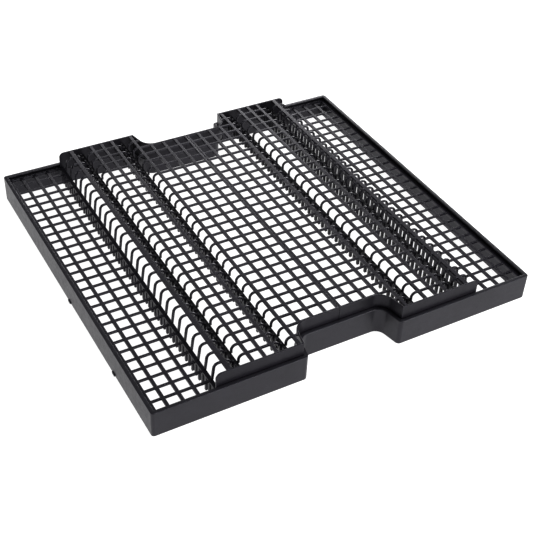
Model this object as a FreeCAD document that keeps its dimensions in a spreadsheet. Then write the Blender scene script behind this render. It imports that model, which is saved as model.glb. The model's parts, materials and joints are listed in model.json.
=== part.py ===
import FreeCAD, Part
import math
import os
import Sketcher

# Cutlery tray: a moulded rim with a centre notch in its front and back edges carries two lift-out inserts.
# Each insert is a corrugated grid: a low shelf at the side, then a narrow ridge, a platform and half of
# the centre deck, all at one height, with narrow valleys between them and comb fingers below.
# Frame: +X to the right, +Y to the back, +Z up; the origin is the middle of the tray on its resting plane.

os.makedirs("parts", exist_ok=True)
doc = FreeCAD.newDocument("CutleryTray")

# ---------------------------------------------------------------- driving dimensions, millimetres

DIMENSIONS = [
    ("TrayWidth", 480.0, "outside width of the rim"),
    ("TrayDepth", 458.0, "outside depth of the rim"),
    ("RimHeight", 33.0, "height of the rim"),
    ("RimWall", 2.0, "thickness of the rim's skirt"),
    ("LipWidth", 4.8, "width of the rim's top lip, from its outer face"),
    ("LipThickness", 2.0, "thickness of the top lip"),
    ("LedgeWidth", 8.0, "reach of the ledge under the inserts, from the rim's outer face"),
    ("LedgeThickness", 2.0, "thickness of that ledge"),
    ("NotchMouth", 117.6, "width of the front and back notches at their mouth"),
    ("NotchFloor", 105.0, "width of those notches at their inner end"),
    ("NotchDepth", 30.5, "depth of those notches"),
    ("CornerRadius", 3.5, "radius of the rim's four corners"),
    ("NotchCorner", 5.0, "radius of the outward corners beside a notch"),
    ("NotchRadius", 12.0, "radius of a notch's inward corners"),
    ("InsertInset", 5.0, "rim's outer face to the insert's edge"),
    ("HalfGap", 0.05, "half of the gap between the two inserts"),
    ("EndWall", 2.0, "thickness of the upright end walls"),
    ("ShelfTop", 28.3, "height of the side shelves"),
    ("DeckTop", 50.0, "height of the ridges, platforms and centre deck"),
    ("ValleyTop", 39.0, "height of the valley floors"),
    ("RowCells", 28.0, "grid cells from front to back"),
    ("RibWidth", 2.5, "width of a crosswise rib"),
    ("RailWidth", 3.9, "width of a lengthwise rail"),
    ("SeamRailWidth", 3.0, "width of the rail beside the seam between the inserts"),
    ("GridDepth", 2.4, "thickness of the grids, ribs and rails alike"),
    ("Shoulder", 6.5, "outer radius where ribs turn down into a wall"),
    ("RibDrop", 7.2, "deck's top to the lower end of the ribs above a comb"),
    ("LeastRadius", 0.3, "smallest radius left on an outward corner"),
    ("RidgeOuter", 161.5, "centre line to the ridge's outer wall, at the deck"),
    ("RidgeSplay", 2.5, "how far that wall leans out, deck to foot"),
    ("EndReach", 166.0, "centre line to the outer end of an end wall"),
    ("RidgeInner", 141.0, "centre line to the ridge's inner wall"),
    ("RidgeRail", 150.2, "centre line to the middle of the ridge's broad rail"),
    ("RidgeRailWidth", 5.2, "width of the ridge's broad rail"),
    ("PlatformOuter", 133.5, "centre line to the platform's outer wall"),
    ("PlatformInner", 84.0, "centre line to the platform's inner wall"),
    ("PlatformPitch", 14.3, "spacing of the platform's rails"),
    ("CentreHalf", 77.0, "centre line to the centre deck's wall"),
    ("CentrePitch", 16.9, "spacing of the centre deck's rails"),
    ("ShelfRail", 184.3, "centre line to the shelf's innermost rail"),
    ("ShelfPitch", 17.0, "spacing of the shelf's rails"),
    ("FootWidth", 5.0, "flat strip along the foot of a ridge"),
    ("FloorThickness", 1.5, "thickness of a valley floor"),
    ("FloorReach", 1.0, "how far the left insert's valley floors reach in under a deck's wall"),
    ("FingerWidth", 3.5, "width of a comb finger, along its row"),
    ("FingerThickness", 2.8, "thickness of a comb finger, across its row"),
    ("FingerRound", 1.2, "radius at the end of a finger"),
    ("RidgeCombTip", 27.0, "height of the finger tips under the left ridge"),
    ("LeftCombTip", 21.5, "height of the finger tips under the left platform"),
    ("CentreCombTip", 23.0, "height of the finger tips under the centre deck"),
    ("RightCombTip", 15.5, "height of the finger tips under the right platform"),
    ("FingerTop", 46.0, "height of the finger tops above the valleys"),
    ("ShelfFingerTip", 7.0, "height of the finger tips under the shelves"),
    ("LugLength", 7.0, "length of a locating lug on the rim's side"),
    ("LugHeight", 3.0, "height of that lug"),
    ("LugStand", 1.2, "how far it stands out"),
    ("LugSpacing", 130.0, "spacing of the two lugs on each side"),
    ("LugCentre", -65.0, "middle of the pair of lugs, from the tray's middle"),
]

sheet = doc.addObject("Spreadsheet::Sheet", "Sheet")
for row, (alias, number, meaning) in enumerate(DIMENSIONS, start=1):
    sheet.set("A%d" % row, meaning)
    sheet.set("B%d" % row, str(number))
    sheet.setAlias("B%d" % row, alias)
doc.recompute()

# Lengths that several pieces share, each an expression over the sheet.
EDGE_X = "(Sheet.TrayWidth / 2 - Sheet.InsertInset)"
EDGE_Y = "(Sheet.TrayDepth / 2 - Sheet.InsertInset)"
WALL_Y = "(%s - Sheet.EndWall)" % EDGE_Y
ROW_PITCH = "(Sheet.TrayDepth - 2 * Sheet.LipWidth) / Sheet.RowCells"
SEAT = "(Sheet.ShelfTop - Sheet.GridDepth)"
FOOT_X = "(Sheet.RidgeOuter + Sheet.FootWidth)"
RIDGE_FOOT_X = "(Sheet.RidgeOuter + Sheet.RidgeSplay)"
RIB_END = "(Sheet.DeckTop - Sheet.RibDrop)"
FLOOR_UNDER = "(Sheet.ValleyTop - Sheet.FloorThickness)"


def value(expression):
    """The number that an expression over the sheet stands for."""
    return float(sheet.evalExpression(str(expression)))


# ---------------------------------------------------------------- helpers for bodies and sketches

def new_body(label):
    """An empty body, labelled with its node's name."""
    body = doc.addObject("PartDesign::Body", label)
    body.Label = label
    return body


def origin_feature(body, role):
    """The body's own origin plane or axis with the given role."""
    return next(item for item in body.Origin.OriginFeatures if item.Role == role)


def new_sketch(body, name, plane, offset="0"):
    """A sketch on one of the body's origin planes, moved along the plane's normal."""
    sketch = body.newObject("Sketcher::SketchObject", name)
    sketch.AttachmentSupport = [(origin_feature(body, plane), "")]
    sketch.MapMode = "FlatFace"
    sketch.setExpression("AttachmentOffset.Base.z", offset)
    return sketch


def bind(sketch, kind, geometry, point, expression):
    """Hold a point's distance from an axis to an expression."""
    if abs(value(expression)) < 1e-9:
        axis = -2 if kind == "DistanceX" else -1
        sketch.addConstraint(Sketcher.Constraint("PointOnObject", geometry, point, axis))
        return
    constraint = Sketcher.Constraint(kind, -1, 1, geometry, point, value(expression))
    index = sketch.addConstraint(constraint)
    sketch.setExpression("Constraints[%d]" % index, expression)


def add_corner(sketch, corner, before, after, radius):
    """The arc that rounds the corner between two directions; returns it and its first and last end."""
    size = value(radius)
    start = corner - before * corner_reach(before, after, size)
    end = corner + after * corner_reach(before, after, size)
    turns_left = before.cross(after).z > 0
    inward = FreeCAD.Vector(-before.y, before.x, 0) * (1 if turns_left else -1)
    circle = Part.Circle(start + inward * size, FreeCAD.Vector(0, 0, 1), size)
    if turns_left:
        arc = sketch.addGeometry(Part.ArcOfCircle(circle, circle.parameter(start), circle.parameter(end)))
    else:
        arc = sketch.addGeometry(Part.ArcOfCircle(circle, circle.parameter(end), circle.parameter(start)))
    index = sketch.addConstraint(Sketcher.Constraint("Radius", arc, size))
    sketch.setExpression("Constraints[%d]" % index, radius)
    return (arc, 1, 2) if turns_left else (arc, 2, 1)


def corner_reach(before, after, radius):
    """How far from a corner its rounding starts."""
    return radius * math.tan(before.getAngle(after) / 2)


def hold_edge(sketch, edge, here, following):
    """Hold an edge to the line between two corners, each (across, up, radius)."""
    start = FreeCAD.Vector(value(here[0]), value(here[1]), 0)
    end = FreeCAD.Vector(value(following[0]), value(following[1]), 0)
    if abs(start.y - end.y) < 1e-6:
        sketch.addConstraint(Sketcher.Constraint("Horizontal", edge))
        bind(sketch, "DistanceY", edge, 1, here[1])
    elif abs(start.x - end.x) < 1e-6:
        sketch.addConstraint(Sketcher.Constraint("Vertical", edge))
        bind(sketch, "DistanceX", edge, 1, here[0])
    else:
        guide = sketch.addGeometry(Part.LineSegment(start, end), True)
        for point, corner in ((1, here), (2, following)):
            bind(sketch, "DistanceX", guide, point, corner[0])
            bind(sketch, "DistanceY", guide, point, corner[1])
        for point in (1, 2):
            sketch.addConstraint(Sketcher.Constraint("PointOnObject", edge, point, guide))


def add_outline(sketch, corners):
    """A closed outline of straight edges; each corner is (across, up, radius), all expressions."""
    points = [FreeCAD.Vector(value(across), value(up), 0) for across, up, radius in corners]
    radii = [value(corner[2]) for corner in corners]
    count = len(points)
    headings = [(points[(i + 1) % count] - points[i]).normalize() for i in range(count)]
    reaches = [corner_reach(headings[i - 1], headings[i], radii[i]) for i in range(count)]
    edges = []
    for i in range(count):
        start = points[i] + headings[i] * reaches[i]
        end = points[(i + 1) % count] - headings[i] * reaches[(i + 1) % count]
        edges.append(sketch.addGeometry(Part.LineSegment(start, end)))
    for i in range(count):
        before = edges[i - 1]
        if radii[i] > 0:
            arc, first, last = add_corner(sketch, points[i], headings[i - 1], headings[i], corners[i][2])
            sketch.addConstraint(Sketcher.Constraint("Tangent", before, 2, arc, first))
            sketch.addConstraint(Sketcher.Constraint("Tangent", arc, last, edges[i], 1))
        else:
            sketch.addConstraint(Sketcher.Constraint("Coincident", before, 2, edges[i], 1))
    for i in range(count):
        hold_edge(sketch, edges[i], corners[i], corners[(i + 1) % count])


def add_box_outline(sketch, left, right, low, high):
    """A rectangle between two pairs of expressions."""
    add_outline(sketch, [(left, low, "0"), (right, low, "0"), (right, high, "0"), (left, high, "0")])


def pad(body, sketch, length, symmetric=False):
    """Pad a sketch along its normal, or equally to both sides of its plane."""
    feature = body.newObject("PartDesign::Pad", sketch.Name + "Pad")
    feature.Profile = sketch
    feature.setExpression("Length", length)
    if symmetric:
        feature.SideType = "Symmetric"
    body.Tip = feature
    doc.recompute()
    return feature


def pocket(body, sketch, length):
    """Cut a sketch's outline out of the body, from the sketch's plane downwards."""
    volume_before = body.Shape.Volume
    feature = body.newObject("PartDesign::Pocket", sketch.Name + "Pocket")
    feature.Profile = sketch
    feature.setExpression("Length", length)
    body.Tip = feature
    doc.recompute()
    if body.Shape.Volume >= volume_before:
        raise RuntimeError("%s cuts nothing" % feature.Name)
    return feature


def repeat_along_depth(body, feature, length, count):
    """Repeat a feature in even steps towards the back."""
    pattern = body.newObject("PartDesign::LinearPattern", feature.Name + "Row")
    pattern.Originals = [feature]
    pattern.Direction = (origin_feature(body, "Y_Axis"), [""])
    pattern.setExpression("Length", length)
    pattern.Occurrences = count
    body.Tip = pattern
    doc.recompute()
    return pattern


# ---------------------------------------------------------------- shared shapes

def notch_corner(inset, side, end, inner):
    """A sharp corner of a notch in the rim's plan outline moved inwards by an expression."""
    slope = "((Sheet.NotchMouth - Sheet.NotchFloor) / 2 / Sheet.NotchDepth)"
    shift = "%s * (sqrt(1 + %s ^ 2) - %s)" % (inset, slope, slope)
    width = "Sheet.NotchFloor" if inner else "Sheet.NotchMouth"
    depth = "Sheet.NotchDepth" if inner else "0"
    across = "%d * (%s / 2 + %s)" % (side, width, shift)
    along = "%d * (Sheet.TrayDepth / 2 - %s - %s)" % (end, depth, inset)
    return across, along


def outward(radius, inset):
    """An outward corner's radius after the outline is moved inwards."""
    return "max(%s - %s; Sheet.LeastRadius)" % (radius, inset)


def rim_outline(inset):
    """The rim's plan outline, moved inwards by an expression, anticlockwise from the front left."""
    side = "(Sheet.TrayWidth / 2 - %s)" % inset
    end = "(Sheet.TrayDepth / 2 - %s)" % inset
    corner = outward("Sheet.CornerRadius", inset)
    mouth = outward("Sheet.NotchCorner", inset)
    inward = "Sheet.NotchRadius + %s" % inset
    return [
        ("-" + side, "-" + end, corner),
        notch_corner(inset, -1, -1, False) + (mouth,),
        notch_corner(inset, -1, -1, True) + (inward,),
        notch_corner(inset, 1, -1, True) + (inward,),
        notch_corner(inset, 1, -1, False) + (mouth,),
        (side, "-" + end, corner),
        (side, end, corner),
        notch_corner(inset, 1, 1, False) + (mouth,),
        notch_corner(inset, 1, 1, True) + (inward,),
        notch_corner(inset, -1, 1, True) + (inward,),
        notch_corner(inset, -1, 1, False) + (mouth,),
        ("-" + side, end, corner),
    ]


def add_ribs(body, outline):
    """A rib of the given outline, seen from the front, at every row of the grid."""
    rows = round(value("Sheet.RowCells")) - 1
    first_row = "%s * (Sheet.RowCells / 2 - 1)" % ROW_PITCH
    sketch = new_sketch(body, body.Name + "Rib", "XZ_Plane", first_row)
    add_outline(sketch, outline)
    rib = pad(body, sketch, "Sheet.RibWidth", symmetric=True)
    return repeat_along_depth(body, rib, "%s * (Sheet.RowCells - 2)" % ROW_PITCH, rows)


def add_rails(body, spans, top, length):
    """Lengthwise rails side by side; each span is a pair of expressions across the tray."""
    sketch = new_sketch(body, body.Name + "Rails", "XZ_Plane")
    for left, right in spans:
        add_box_outline(sketch, left, right, "%s - Sheet.GridDepth" % top, top)
    return pad(body, sketch, length, symmetric=True)


def rail_span(centre):
    """The two sides of a rail of ordinary width."""
    return ("%s - Sheet.RailWidth / 2" % centre, "%s + Sheet.RailWidth / 2" % centre)


def arch_outline(left, right, left_foot, right_foot, left_splay="0", right_splay="0"):
    """A rib that runs across a deck and turns down into a wall at each end; a wall may lean out."""
    inner_radius = "Sheet.Shoulder - Sheet.GridDepth"
    under = "Sheet.DeckTop - Sheet.GridDepth"
    return [
        ("%s - %s" % (left, left_splay), left_foot, "0"),
        ("%s - %s + Sheet.GridDepth" % (left, left_splay), left_foot, "0"),
        (left + " + Sheet.GridDepth", under, inner_radius),
        (right + " - Sheet.GridDepth", under, inner_radius),
        ("%s + %s - Sheet.GridDepth" % (right, right_splay), right_foot, "0"),
        ("%s + %s" % (right, right_splay), right_foot, "0"),
        (right, "Sheet.DeckTop", "Sheet.Shoulder"),
        (left, "Sheet.DeckTop", "Sheet.Shoulder"),
    ]


def half_arch_outline(side, foot):
    """A rib from the centre line out to one wall; side is -1 or 1."""
    wall = "%d * Sheet.CentreHalf" % side
    inside = "%d * (Sheet.CentreHalf - Sheet.GridDepth)" % side
    middle = "%d * Sheet.HalfGap" % side
    under = "Sheet.DeckTop - Sheet.GridDepth"
    return [
        (middle, "Sheet.DeckTop", "0"),
        (middle, under, "0"),
        (inside, under, "Sheet.Shoulder - Sheet.GridDepth"),
        (inside, foot, "0"),
        (wall, foot, "0"),
        (wall, "Sheet.DeckTop", "Sheet.Shoulder"),
    ]


def add_fingers(body, left, tip, top, rounded_top):
    """A row of comb fingers, two to each row of the grid; left is the height of their sketch plane."""
    fingers = 2 * round(value("Sheet.RowCells")) - 1
    first = "%s / 2 * (Sheet.RowCells - 1)" % ROW_PITCH
    half = "Sheet.FingerWidth / 2"
    top_rounding = "Sheet.FingerRound" if rounded_top else "0"
    sketch = new_sketch(body, body.Name + "Finger", "YZ_Plane", left)
    add_outline(sketch, [
        ("-%s - %s" % (first, half), tip, "Sheet.FingerRound"),
        ("-%s + %s" % (first, half), tip, "Sheet.FingerRound"),
        ("-%s + %s" % (first, half), top, top_rounding),
        ("-%s - %s" % (first, half), top, top_rounding),
    ])
    finger = pad(body, sketch, "Sheet.FingerThickness")
    return repeat_along_depth(body, finger, "%s * (Sheet.RowCells - 1)" % ROW_PITCH, fingers)


# ---------------------------------------------------------------- the rim

def build_rim():
    """Skirt, top lip, the ledge that carries the inserts, and the locating lugs low on the sides."""
    body = new_body("outer_rim")
    blank = new_sketch(body, "RimBlank", "XY_Plane")
    add_outline(blank, rim_outline("0"))
    pad(body, blank, "Sheet.RimHeight")

    for side in (-1, 1):
        lugs = new_sketch(body, "LugsRight" if side > 0 else "LugsLeft", "XY_Plane")
        face = "%d * Sheet.TrayWidth / 2" % side
        stand = "%d * (Sheet.TrayWidth / 2 + Sheet.LugStand)" % side
        for shift in (-0.5, 0.5):
            middle = "Sheet.LugCentre + %s * Sheet.LugSpacing" % shift
            low = "%s - Sheet.LugLength / 2" % middle
            high = "%s + Sheet.LugLength / 2" % middle
            inside = "%d * (Sheet.TrayWidth / 2 - Sheet.RimWall / 2)" % side
            add_box_outline(lugs, inside, stand, low, high)
        pad(body, lugs, "Sheet.LugHeight")

    ledge_under = SEAT + " - Sheet.LedgeThickness"
    lip_under = "Sheet.RimHeight - Sheet.LipThickness"
    cuts = [
        ("RimOpening", "Sheet.LedgeWidth", "Sheet.RimHeight", "Sheet.RimHeight"),
        ("LipOpening", "Sheet.LipWidth", "Sheet.RimHeight", "Sheet.LipThickness"),
        ("RimRecess", "Sheet.RimWall", lip_under, "%s - %s" % (lip_under, SEAT)),
        ("SkirtHollow", "Sheet.RimWall", ledge_under, ledge_under),
    ]
    for name, inset, height, depth in cuts:
        sketch = new_sketch(body, name, "XY_Plane", height)
        add_outline(sketch, rim_outline(inset))
        pocket(body, sketch, depth)
    return body


# ---------------------------------------------------------------- the inserts

def build_shelf(label, side):
    """The low grid at the side of the tray, edged on three sides."""
    body = new_body(label)
    border = new_sketch(body, label + "Border", "XY_Plane", SEAT)
    outer = "%d * %s" % (side, EDGE_X)
    inner = "%d * (%s - Sheet.RailWidth)" % (side, EDGE_X)
    wall_end = "%d * Sheet.EndReach" % side
    round_out = outward("Sheet.CornerRadius", "Sheet.InsertInset")
    add_outline(border, [
        (wall_end, "-" + EDGE_Y, "0"),
        (outer, "-" + EDGE_Y, round_out),
        (outer, EDGE_Y, round_out),
        (wall_end, EDGE_Y, "0"),
        (wall_end, WALL_Y, "0"),
        (inner, WALL_Y, "0"),
        (inner, "-" + WALL_Y, "0"),
        (wall_end, "-" + WALL_Y, "0"),
    ])
    pad(body, border, "Sheet.GridDepth")
    spans = []
    for step in range(3):
        spans.append(rail_span("%d * (Sheet.ShelfRail + %d * Sheet.ShelfPitch)" % (side, step)))
    add_rails(body, spans, "Sheet.ShelfTop", "2 * " + WALL_Y)
    foot = "%d * %s" % (side, FOOT_X)
    edge = "%d * (%s - Sheet.RailWidth / 2)" % (side, EDGE_X)
    under = "Sheet.ShelfTop - Sheet.GridDepth"
    add_ribs(body, [(foot, under, "0"), (edge, under, "0"), (edge, "Sheet.ShelfTop", "0"),
                    (foot, "Sheet.ShelfTop", "0")])
    return body


def build_shelf_comb(label, side):
    """The flat strip along the ridge's foot, with its long hanging fingers."""
    body = new_body(label)
    strip = new_sketch(body, label + "Strip", "XZ_Plane")
    inside = "%d * (%s - Sheet.GridDepth)" % (side, RIDGE_FOOT_X)
    outside = "%d * %s" % (side, FOOT_X)
    add_box_outline(strip, inside, outside, "Sheet.ShelfTop - Sheet.GridDepth", "Sheet.ShelfTop")
    pad(body, strip, "2 * " + WALL_Y, symmetric=True)
    left = "-" + FOOT_X if side < 0 else "(%s - Sheet.GridDepth)" % RIDGE_FOOT_X
    add_fingers(body, left, "Sheet.ShelfFingerTip", SEAT, False)
    return body


def build_ridge(label, side):
    """The narrow ridge between shelf and valley, with one broad rail."""
    body = new_body(label)
    centre = "%d * Sheet.RidgeRail" % side
    half = "Sheet.RidgeRailWidth / 2"
    span = ("%s - %s" % (centre, half), "%s + %s" % (centre, half))
    add_rails(body, [span], "Sheet.DeckTop", "2 * " + WALL_Y)
    if side < 0:
        outline = arch_outline("-Sheet.RidgeOuter", "-Sheet.RidgeInner", "Sheet.ShelfTop", RIB_END,
                               left_splay="Sheet.RidgeSplay")
    else:
        outline = arch_outline("Sheet.RidgeInner", "Sheet.RidgeOuter", "Sheet.ValleyTop", "Sheet.ShelfTop",
                               right_splay="Sheet.RidgeSplay")
    add_ribs(body, outline)
    return body


def build_platform(label, side):
    """The broad deck between the two valleys of one insert."""
    body = new_body(label)
    middle = "%d * (Sheet.PlatformOuter + Sheet.PlatformInner) / 2" % side
    spans = []
    for step in (-1, 0, 1):
        spans.append(rail_span("%s + %d * Sheet.PlatformPitch" % (middle, step)))
    add_rails(body, spans, "Sheet.DeckTop", "2 * " + WALL_Y)
    walls = ["%d * Sheet.PlatformOuter" % side, "%d * Sheet.PlatformInner" % side]
    left, right = walls if side < 0 else reversed(walls)
    add_ribs(body, arch_outline(left, right, "Sheet.ValleyTop", RIB_END))
    return body


def build_centre(label, side):
    """Half of the centre deck, cut back at both ends around the notches."""
    body = new_body(label)
    spans = [("%d * Sheet.HalfGap" % side, "%d * Sheet.SeamRailWidth" % side)]
    for step in range(1, 5):
        spans.append(rail_span("%d * %d * Sheet.CentrePitch" % (side, step)))
    add_rails(body, spans, "Sheet.DeckTop", "2 * " + WALL_Y)
    foot = "Sheet.ValleyTop" if side < 0 else RIB_END
    add_ribs(body, half_arch_outline(side, foot))
    inset = "(Sheet.InsertInset + Sheet.EndWall)"
    for end in (-1, 1):
        name = label + ("NotchFront" if end < 0 else "NotchBack")
        notch = new_sketch(body, name, "XY_Plane", "Sheet.DeckTop")
        inner = notch_corner(inset, side, end, True)
        mouth = notch_corner(inset, side, end, False)
        add_outline(notch, [("0", inner[1], "0"), inner + ("Sheet.NotchRadius + " + inset,),
                            mouth + ("0",), ("0", mouth[1], "0")])
        pocket(body, notch, "Sheet.DeckTop - Sheet.ShelfTop")
    return body


def build_deck_comb(label, wall, tip):
    """The comb that closes a deck's right-hand side and reaches down past the valley floor."""
    body = new_body(label)
    rail = new_sketch(body, label + "Rail", "XZ_Plane")
    right = "%s + Sheet.FingerThickness" % wall
    add_box_outline(rail, wall, right, FLOOR_UNDER, "Sheet.ValleyTop")
    pad(body, rail, "2 * " + WALL_Y, symmetric=True)
    add_fingers(body, wall, tip, "Sheet.FingerTop", True)
    return body


def build_valley(label, left_wall, right_wall, reach):
    """A valley floor, from the comb on its left to a little way in under the wall on its right."""
    body = new_body(label)
    floor = new_sketch(body, label + "Floor", "XZ_Plane")
    left = "%s + Sheet.FingerThickness" % left_wall
    right = "%s + %s" % (right_wall, reach)
    add_box_outline(floor, left, right, FLOOR_UNDER, "Sheet.ValleyTop")
    pad(body, floor, "2 * " + WALL_Y, symmetric=True)
    return body


def build_end_wall(label, side, end):
    """The upright wall that closes one end of an insert and follows the notch."""
    body = new_body(label)
    plan = new_sketch(body, label + "Plan", "XY_Plane", SEAT)
    inset = "Sheet.InsertInset"
    deep = "(Sheet.InsertInset + Sheet.EndWall)"
    corner = "%d * Sheet.EndReach" % side
    middle = "%d * Sheet.HalfGap" % side
    outer_mouth = notch_corner(inset, side, end, False)
    outer_floor = notch_corner(inset, side, end, True)
    inner_floor = notch_corner(deep, side, end, True)
    inner_mouth = notch_corner(deep, side, end, False)
    add_outline(plan, [
        (corner, outer_mouth[1], "0"),
        outer_mouth + (outward("Sheet.NotchCorner", inset),),
        outer_floor + ("Sheet.NotchRadius + " + inset,),
        (middle, outer_floor[1], "0"),
        (middle, inner_floor[1], "0"),
        inner_floor + ("Sheet.NotchRadius + " + deep,),
        inner_mouth + (outward("Sheet.NotchCorner", deep),),
        (corner, inner_mouth[1], "0"),
    ])
    wall = pad(body, plan, "Sheet.DeckTop - " + SEAT)
    reach = abs(value(corner))
    top = value("Sheet.DeckTop")
    names = []
    for number, edge in enumerate(wall.Shape.Edges, start=1):
        at = edge.CenterOfMass
        if abs(abs(at.x) - reach) < 0.01 and abs(at.z - top) < 0.01:
            names.append("Edge%d" % number)
    shoulder = body.newObject("PartDesign::Fillet", label + "Shoulder")
    shoulder.Base = (wall, names)
    shoulder.setExpression("Radius", "Sheet.Shoulder")
    body.Tip = shoulder
    doc.recompute()
    return body


pieces = [build_rim()]
for word, side in (("left", -1), ("right", 1)):
    pieces.append(build_shelf(word + "_shelf_grid", side))
    pieces.append(build_shelf_comb(word + "_shelf_comb", side))
    pieces.append(build_ridge(word + "_ridge_grid", side))
    pieces.append(build_platform(word + "_platform_grid", side))
    pieces.append(build_centre(word + "_centre_grid", side))
    pieces.append(build_end_wall(word + "_front_end_wall", side, -1))
    pieces.append(build_end_wall(word + "_back_end_wall", side, 1))

valleys = [
    ("left_outer_valley", "-Sheet.RidgeInner", "-Sheet.PlatformOuter", "Sheet.FloorReach"),
    ("left_inner_valley", "-Sheet.PlatformInner", "-Sheet.CentreHalf", "Sheet.FloorReach"),
    ("right_inner_valley", "Sheet.CentreHalf", "Sheet.PlatformInner", "Sheet.GridDepth"),
    ("right_outer_valley", "Sheet.PlatformOuter", "Sheet.RidgeInner", "Sheet.GridDepth"),
]
for label, left_wall, right_wall, reach in valleys:
    pieces.append(build_valley(label, left_wall, right_wall, reach))

combs = [
    ("left_ridge_comb", "-Sheet.RidgeInner", "Sheet.RidgeCombTip"),
    ("left_platform_comb", "-Sheet.PlatformInner", "Sheet.LeftCombTip"),
    ("right_centre_comb", "Sheet.CentreHalf", "Sheet.CentreCombTip"),
    ("right_platform_comb", "Sheet.PlatformOuter", "Sheet.RightCombTip"),
]
for label, wall, tip in combs:
    pieces.append(build_deck_comb(label, wall, tip))

# ---------------------------------------------------------------- checks and export

doc.recompute()
for item in doc.Objects:
    if "Invalid" in item.State or "Error" in item.State:
        raise RuntimeError("%s is %s" % (item.Label, item.State))
for piece in pieces:
    if piece.Shape.isNull() or not piece.Shape.isValid():
        raise RuntimeError("%s has no valid shape" % piece.Label)
    if len(piece.Shape.Solids) != 1:
        raise RuntimeError("%s has %d solids" % (piece.Label, len(piece.Shape.Solids)))
    piece.Shape.exportStep("parts/%s.step" % piece.Label)
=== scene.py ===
import json
import math

import bpy
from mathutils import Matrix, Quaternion, Vector


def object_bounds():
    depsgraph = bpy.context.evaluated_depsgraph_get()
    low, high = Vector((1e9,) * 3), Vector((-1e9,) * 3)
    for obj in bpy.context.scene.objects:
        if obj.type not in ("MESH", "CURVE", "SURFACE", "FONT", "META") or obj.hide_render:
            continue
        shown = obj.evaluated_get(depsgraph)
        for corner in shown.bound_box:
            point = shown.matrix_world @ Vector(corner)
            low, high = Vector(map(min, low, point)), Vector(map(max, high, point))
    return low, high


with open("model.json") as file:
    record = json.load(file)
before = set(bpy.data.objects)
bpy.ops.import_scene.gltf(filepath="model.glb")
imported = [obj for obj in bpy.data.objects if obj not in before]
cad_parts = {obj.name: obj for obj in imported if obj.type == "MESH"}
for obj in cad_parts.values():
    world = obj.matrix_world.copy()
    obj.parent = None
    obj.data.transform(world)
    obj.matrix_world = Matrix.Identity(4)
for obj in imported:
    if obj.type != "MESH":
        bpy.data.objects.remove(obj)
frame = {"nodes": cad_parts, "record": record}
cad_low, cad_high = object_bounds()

# ---------------------------------------------------------------- camera

VIEW_AZIMUTH = math.radians(-30.846)
VIEW_ELEVATION = math.radians(39.384)
VIEW_ROLL = math.radians(2.814)
VIEW_DISTANCE = 1.264174
VIEW_TARGET = Vector((-0.005957, -0.04381, 0.0))
SENSOR_WIDTH = 36.0
LENS = 70.585
CLIP_NEAR = 0.01
CLIP_FAR = 50.0
VIEW_GAMMA = 0.78

# ---------------------------------------------------------------- finishes, metres

EDGE_RADII = {"rim_plastic": 0.0007, "wall_plastic": 0.0005, "grid_plastic": 0.0005, "comb_plastic": 0.0003}
EDGE_SEGMENTS = 2
EDGE_ANGLE = math.radians(35)
WELD_DISTANCE = 0.00001
# Width of the pale edges: a painted highlight, partly rubbed wear.
WEAR_AND_HIGHLIGHT_EDGE_WIDTH = 0.0006
REFRACTION = 1.49
SHINE_TINT = (0.93, 0.91, 1.0, 1.0)
FLOW_SCALE = 22.0
SCUFF_SCALE = 160.0
PITS_PER_GRAIN = 0.6
RELIEF_STRENGTH = 0.6
DARK_FLOW = 0.80
PALE_FLOW = 1.25


def new_material(name):
    """An empty node material and its tree."""
    material = bpy.data.materials.new(name)
    material.use_nodes = True
    tree = material.node_tree
    tree.nodes.clear()
    return material, tree


def add_node(tree, kind, **inputs):
    """A node with some of its inputs set; names with spaces are written with underscores."""
    node = tree.nodes.new(kind)
    for key, value in inputs.items():
        node.inputs[key.replace("_", " ")].default_value = value
    return node


def ramp(tree, source, low, high, low_colour, high_colour):
    """Maps a value between two stops to a colour between two colours."""
    node = tree.nodes.new("ShaderNodeValToRGB")
    node.color_ramp.elements[0].position = low
    node.color_ramp.elements[0].color = low_colour
    node.color_ramp.elements[1].position = high
    node.color_ramp.elements[1].color = high_colour
    tree.links.new(source, node.inputs["Fac"])
    return node.outputs["Color"]


def grey(value):
    return (value, value, value, 1.0)


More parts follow.
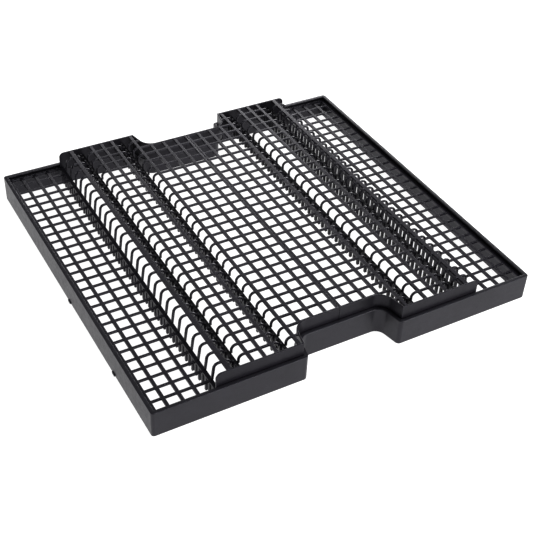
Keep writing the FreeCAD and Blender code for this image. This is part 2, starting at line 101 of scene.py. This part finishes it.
def moulded_plastic(name, base, shine_level, rough, grain_size, grain_depth, edge_wear_and_highlight_lift):
    """Near-black moulded plastic: spark-eroded grain, faint flow marks and pale edges.

    Edge lift is how many times paler than the base colour a pale edge is; the pale edge is a painted
    highlight, broken up by scuffs so that it also reads as wear.
    """
    material, tree = new_material(name)
    links = tree.links
    place = add_node(tree, "ShaderNodeTexCoord").outputs["Object"]

    grain = add_node(tree, "ShaderNodeTexNoise", Scale=1.0 / grain_size, Detail=3.0, Roughness=0.55)
    links.new(place, grain.inputs["Vector"])
    pits = add_node(tree, "ShaderNodeTexVoronoi", Scale=PITS_PER_GRAIN / grain_size)
    links.new(place, pits.inputs["Vector"])
    flow = add_node(tree, "ShaderNodeTexNoise", Scale=FLOW_SCALE, Detail=4.0, Roughness=0.5, Distortion=0.6)
    links.new(place, flow.inputs["Vector"])
    scuffs = add_node(tree, "ShaderNodeTexNoise", Scale=SCUFF_SCALE, Detail=6.0, Roughness=0.7)
    links.new(place, scuffs.inputs["Vector"])

    darker = tuple(DARK_FLOW * c for c in base) + (1.0,)
    lighter = tuple(PALE_FLOW * c for c in base) + (1.0,)
    colour = ramp(tree, flow.outputs["Fac"], 0.35, 0.65, darker, lighter)

    # Pale edges: a painted highlight along every edge, broken up by the scuff noise so that it also reads
    # as rubbed wear.
    soft_edge = add_node(tree, "ShaderNodeBevel", Radius=WEAR_AND_HIGHLIGHT_EDGE_WIDTH)
    soft_edge.samples = 4
    geometry = add_node(tree, "ShaderNodeNewGeometry")
    facing = tree.nodes.new("ShaderNodeVectorMath")
    facing.operation = "DOT_PRODUCT"
    links.new(soft_edge.outputs["Normal"], facing.inputs[0])
    links.new(geometry.outputs["Normal"], facing.inputs[1])
    edge = ramp(tree, facing.outputs["Value"], 0.80, 0.99, grey(1.0), grey(0.0))
    wear_and_highlight = tree.nodes.new("ShaderNodeMath")
    wear_and_highlight.operation = "MULTIPLY"
    links.new(edge, wear_and_highlight.inputs[0])
    links.new(ramp(tree, scuffs.outputs["Fac"], 0.38, 0.62, grey(0.25), grey(1.0)), wear_and_highlight.inputs[1])

    lift = tree.nodes.new("ShaderNodeMix")
    lift.data_type = "RGBA"
    links.new(wear_and_highlight.outputs["Value"], lift.inputs["Factor"])
    links.new(colour, lift.inputs[6])
    lift.inputs[7].default_value = tuple(edge_wear_and_highlight_lift * c for c in base) + (1.0,)

    shine = ramp(tree, scuffs.outputs["Fac"], 0.3, 0.7, grey(rough - 0.06), grey(rough + 0.07))

    relief = tree.nodes.new("ShaderNodeMath")
    relief.operation = "ADD"
    links.new(grain.outputs["Fac"], relief.inputs[0])
    links.new(pits.outputs["Distance"], relief.inputs[1])
    bump = add_node(tree, "ShaderNodeBump", Strength=RELIEF_STRENGTH, Distance=grain_depth)
    links.new(relief.outputs["Value"], bump.inputs["Height"])

    shader = add_node(tree, "ShaderNodeBsdfPrincipled", IOR=REFRACTION, Specular_IOR_Level=shine_level)
    shader.inputs["Specular Tint"].default_value = SHINE_TINT
    links.new(lift.outputs[2], shader.inputs["Base Color"])
    links.new(shine, shader.inputs["Roughness"])
    links.new(bump.outputs["Normal"], shader.inputs["Normal"])
    output = tree.nodes.new("ShaderNodeOutputMaterial")
    links.new(shader.outputs["BSDF"], output.inputs["Surface"])
    return material


# Slot: base colour, shine level, roughness, grain size, grain depth, edge lift (painted edge highlight,
# partly wear).
# The base colours differ by slot as painted shade: comb_plastic and wall_plastic are darker than
# grid_plastic so that the combs, upstands and inner walls look shaded.
PLASTICS = {
    "rim_plastic": ((0.012, 0.0116, 0.0155), 0.60, 0.36, 0.0007, 0.00006, 7.0),
    "wall_plastic": ((0.014, 0.0131, 0.0175), 0.38, 0.34, 0.0007, 0.00005, 9.0),
    "grid_plastic": ((0.015, 0.0142, 0.0188), 0.55, 0.28, 0.0006, 0.00004, 6.0),
    "comb_plastic": ((0.005, 0.0047, 0.0062), 0.30, 0.36, 0.0006, 0.00004, 9.0),
}
FINISHES = {slot: moulded_plastic(slot, *look) for slot, look in PLASTICS.items()}


def soften_edges(piece, width):
    """Small moulded radii on every sharp edge."""
    weld = piece.modifiers.new("Weld", "WELD")
    weld.merge_threshold = WELD_DISTANCE
    bevel = piece.modifiers.new("Bevel", "BEVEL")
    bevel.width = width
    bevel.segments = EDGE_SEGMENTS
    bevel.limit_method = "ANGLE"
    bevel.angle_limit = EDGE_ANGLE
    bevel.use_clamp_overlap = False
    weights = piece.modifiers.new("WeightedNormal", "WEIGHTED_NORMAL")
    weights.keep_sharp = False


slots = {entry["node"]: entry["material_slot"] for entry in frame["record"]["subparts"]}
for node, piece in frame["nodes"].items():
    piece.data.materials.clear()
    piece.data.materials.append(FINISHES[slots[node]])
    soften_edges(piece, EDGE_RADII[slots[node]])

# ---------------------------------------------------------------- studio, metres and watts

FLOOR_HALF_WIDTH = 40.0
FLOOR_GAP = 0.0005
FLOOR_GREY = 0.35
FLOOR_GLOW = 0.93
WORLD_LIGHT = 0.22
WORLD_SEEN = 1.05
WHITE = (1.0, 1.0, 1.0, 1.0)

# Name, place, power, width, height.
SOFT_BOXES = [
    ("overhead", (-0.4, -0.3, 2.6), 16.0, 1.9, 1.9),
    ("back_right", (0.95, 1.55, 1.5), 2.2, 1.4, 1.0),
    ("low_right", (1.6, 1.5, 0.42), 24.0, 1.6, 0.5),
    ("behind", (0.20, 0.70, 0.33), 0.6, 0.6, 0.14),
    ("front_right", (0.80, -1.15, 1.25), 30.0, 1.2, 0.8),
    ("back_left", (-1.6, 1.0, 0.5), 6.0, 1.3, 0.5),
]


def add_floor():
    """A plain pale floor that carries on past the edges of the view."""
    size = FLOOR_HALF_WIDTH
    corners = [(-size, -size, 0), (size, -size, 0), (size, size, 0), (-size, size, 0)]
    mesh = bpy.data.meshes.new("floor")
    mesh.from_pydata(corners, [], [(0, 1, 2, 3)])
    floor = bpy.data.objects.new("floor", mesh)
    bpy.context.scene.collection.objects.link(floor)
    floor.location.z = cad_low.z - FLOOR_GAP
    material, tree = new_material("floor_paper")
    paper = add_node(tree, "ShaderNodeBsdfDiffuse", Color=grey(FLOOR_GREY))
    glow = add_node(tree, "ShaderNodeEmission", Color=WHITE, Strength=FLOOR_GLOW)
    both = tree.nodes.new("ShaderNodeAddShader")
    tree.links.new(paper.outputs["BSDF"], both.inputs[0])
    tree.links.new(glow.outputs["Emission"], both.inputs[1])
    output = tree.nodes.new("ShaderNodeOutputMaterial")
    tree.links.new(both.outputs["Shader"], output.inputs["Surface"])
    mesh.materials.append(material)


def add_area_light(name, place, power, width, height):
    """A soft box that faces the middle of the tray."""
    data = bpy.data.lights.new(name, "AREA")
    data.shape = "RECTANGLE"
    data.size = width
    data.size_y = height
    data.energy = power
    light = bpy.data.objects.new(name, data)
    light.location = place
    light.rotation_mode = "QUATERNION"
    light.rotation_quaternion = (-Vector(place)).to_track_quat("-Z", "Y")
    bpy.context.scene.collection.objects.link(light)


def set_world(strength, seen_strength):
    """Soft light from all around; the camera sees it at its own, paler strength."""
    world = bpy.data.worlds.new("studio")
    world.use_nodes = True
    tree = world.node_tree
    tree.nodes.clear()
    rays = tree.nodes.new("ShaderNodeLightPath")
    mix = tree.nodes.new("ShaderNodeMixShader")
    tree.links.new(rays.outputs["Is Camera Ray"], mix.inputs[0])
    for socket, level in ((1, strength), (2, seen_strength)):
        sky = add_node(tree, "ShaderNodeBackground", Color=WHITE, Strength=level)
        tree.links.new(sky.outputs["Background"], mix.inputs[socket])
    output = tree.nodes.new("ShaderNodeOutputWorld")
    tree.links.new(mix.outputs["Shader"], output.inputs["Surface"])
    bpy.context.scene.world = world


def add_camera():
    data = bpy.data.cameras.new("camera")
    data.sensor_width = SENSOR_WIDTH
    data.lens = LENS
    data.clip_start = CLIP_NEAR
    data.clip_end = CLIP_FAR
    camera = bpy.data.objects.new("camera", data)
    across = math.cos(VIEW_ELEVATION)
    height = math.sin(VIEW_ELEVATION)
    back = Vector((math.sin(VIEW_AZIMUTH) * across, -math.cos(VIEW_AZIMUTH) * across, height))
    camera.location = VIEW_TARGET + back * VIEW_DISTANCE
    camera.rotation_mode = "QUATERNION"
    level = (-back).to_track_quat("-Z", "Y")
    camera.rotation_quaternion = level @ Quaternion((0.0, 0.0, 1.0), VIEW_ROLL)
    bpy.context.scene.collection.objects.link(camera)
    bpy.context.scene.camera = camera


add_floor()
set_world(WORLD_LIGHT, WORLD_SEEN)
for soft_box in SOFT_BOXES:
    add_area_light(*soft_box)
add_camera()
bpy.context.scene.view_settings.view_transform = "Standard"
bpy.context.scene.view_settings.gamma = VIEW_GAMMA
